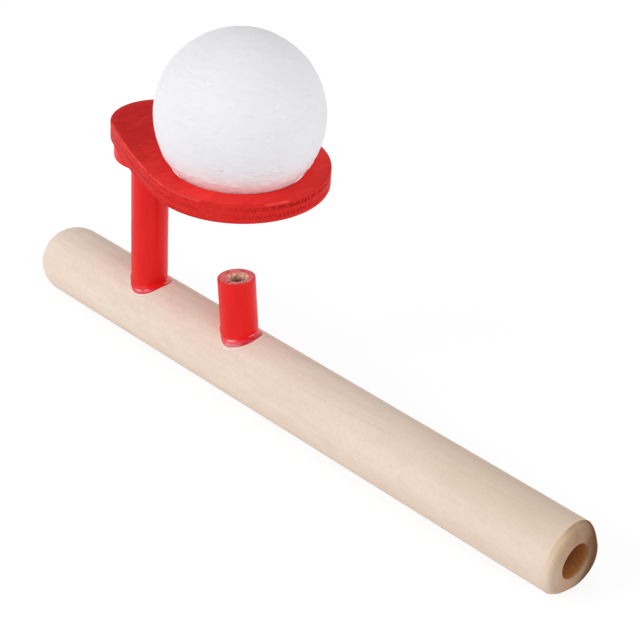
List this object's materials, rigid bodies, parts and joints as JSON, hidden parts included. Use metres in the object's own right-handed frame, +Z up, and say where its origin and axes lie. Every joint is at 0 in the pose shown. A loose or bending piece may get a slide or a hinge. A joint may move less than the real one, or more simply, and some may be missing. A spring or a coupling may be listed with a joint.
{
  "type": "blow ball pipe toy",
  "caption": "Wooden blowing toy: a bored pipe with a small upright nozzle, and a teardrop plate on a post that holds a foam ball in a round hole behind the jet.",
  "frame": {"origin": "middle of the pipe's mouth face, on the pipe's axis", "axes": "+X along the pipe and out of its mouth, +Z up along the post, +Y across the toy"},
  "size_m": [0.1536, 0.0382, 0.0835],
  "materials": {
    "bare_wood": "matte",
    "red_wood": "satin",
    "red_glue": "gloss",
    "white_foam": "matte"
  },
  "bodies": {
    "toy": {"pipe": "bare_wood", "post": "red_wood", "post_boss": "red_wood", "ball_holder": "red_wood", "nozzle": "red_wood", "post_glue": "red_glue", "nozzle_glue": "red_glue"},
    "ball": {"foam_ball": "white_foam"}
  },
  "joints": [
    {"name": "ball_lift", "type": "slide", "parent": "toy", "child": "ball", "axis": [0, 0, 1], "range_m": [0, 0.1]}
  ]
}
